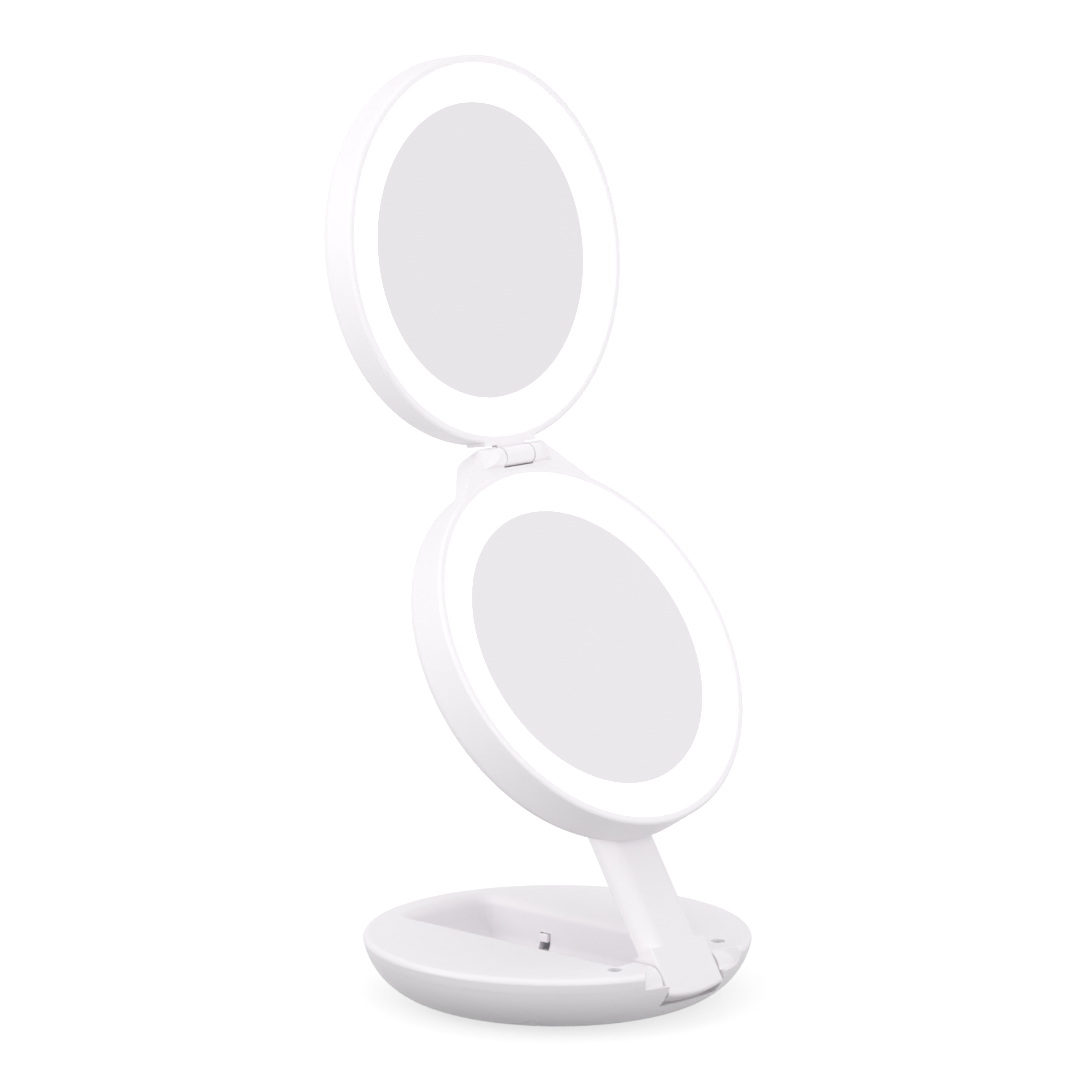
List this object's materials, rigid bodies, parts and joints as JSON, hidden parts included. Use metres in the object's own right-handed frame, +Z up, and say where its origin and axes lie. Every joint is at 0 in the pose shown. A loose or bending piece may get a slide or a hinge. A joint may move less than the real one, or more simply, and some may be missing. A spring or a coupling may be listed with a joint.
{
  "type": "folding lighted travel mirror",
  "caption": "Folding travel mirror: lit round mirrors hinged edge to edge on a sliding arm that folds into the channel of a shallow round base.",
  "frame": {"origin": "on the table under the centre of the base", "axes": "+Z up, -Y towards the user in front of the mirrors, X along the hinges"},
  "size_m": [0.1324, 0.1299, 0.3175],
  "materials": {
    "white_abs": "satin white moulded ABS",
    "mirror_glass": "silvered float glass",
    "opal_acrylic": "opal acrylic, lit from behind",
    "tray_abs": "white reflector ABS",
    "led_board": "white solder mask on fibreglass",
    "led_package": "phosphor-filled LED package",
    "zinc_screw": "zinc-plated steel",
    "steel_pin": "ground steel",
    "spring_steel": "nickel-plated spring steel",
    "nylon_washer": "natural nylon",
    "grey_rubber": "soft grey rubber",
    "cell_jacket": "plain printed steel jacket",
    "switch_plastic": "black acetal",
    "switch_cap": "white acetal",
    "circuit_board": "green solder mask on fibreglass",
    "component_black": "black epoxy packages",
    "ribbon_cable": "flat flexible cable"
  },
  "bodies": {
    "base": {"arm_hinge_pin": "steel_pin", "arm_hinge_washers": "nylon_washer", "back_battery_contacts": "spring_steel", "base_board_components": "component_black", "base_bowl": "white_abs", "base_circuit_board": "circuit_board", "base_screws": "zinc_screw", "base_top_cover": "white_abs", "battery_cell_1": "cell_jacket", "battery_cell_2": "cell_jacket", "battery_cell_3": "cell_jacket", "battery_cell_4": "cell_jacket", "front_battery_contacts": "spring_steel", "hinge_screws": "zinc_screw", "rubber_feet": "grey_rubber", "switch_body": "switch_plastic"},
    "arm": {"arm": "white_abs", "arm_stop_bar": "steel_pin", "arm_ribbon_cable": "ribbon_cable"},
    "lower_mirror": {"lower_back_cover": "white_abs", "lower_diffuser": "opal_acrylic", "lower_disc_screws": "zinc_screw", "lower_front_ring": "white_abs", "lower_led_board": "led_board", "lower_leds": "led_package", "lower_light_tray": "tray_abs", "lower_mirror_glass": "mirror_glass", "spine_cover": "white_abs", "spine_cover_screws": "zinc_screw", "slide_leaf_spring": "spring_steel", "mirror_hinge_pin": "steel_pin", "mirror_hinge_washers": "nylon_washer"},
    "upper_mirror": {"upper_back_cover": "white_abs", "upper_diffuser": "opal_acrylic", "upper_disc_screws": "zinc_screw", "upper_front_ring": "white_abs", "upper_led_board": "led_board", "upper_leds": "led_package", "upper_light_tray": "tray_abs", "upper_mirror_glass": "mirror_glass"},
    "battery_lid": {"battery_lid": "white_abs"},
    "switch_knob": {"switch_knob": "switch_cap"}
  },
  "joints": [
    {"name": "base_fold", "type": "hinge", "parent": "base", "child": "arm", "pos_m": [0, -0.0548, 0.0163], "axis": [-1, 0, 0], "range_deg": [0, 58.4]},
    {"name": "arm_slide", "type": "slide", "parent": "arm", "child": "lower_mirror", "axis": [0, 0.524, 0.8517], "range_m": [-0.057, 0]},
    {"name": "mirror_hinge", "type": "hinge", "parent": "lower_mirror", "child": "upper_mirror", "pos_m": [0, 0.02008, 0.18344], "axis": [1, 0, 0], "range_deg": [-23.2, 156.8]},
    {"name": "power_switch", "type": "slide", "parent": "base", "child": "switch_knob", "axis": [0, 0, -1], "range_m": [0, 0.0025]},
    {"name": "lid_hinge", "type": "hinge", "parent": "base", "child": "battery_lid", "pos_m": [0, -0.0325, 0.0008], "axis": [-1, 0, 0], "range_deg": [0, 60]}
  ],
  "couplings": [
    {"joint": "arm_slide", "follows": "base_fold", "m_per_rad": -0.055726}
  ]
}
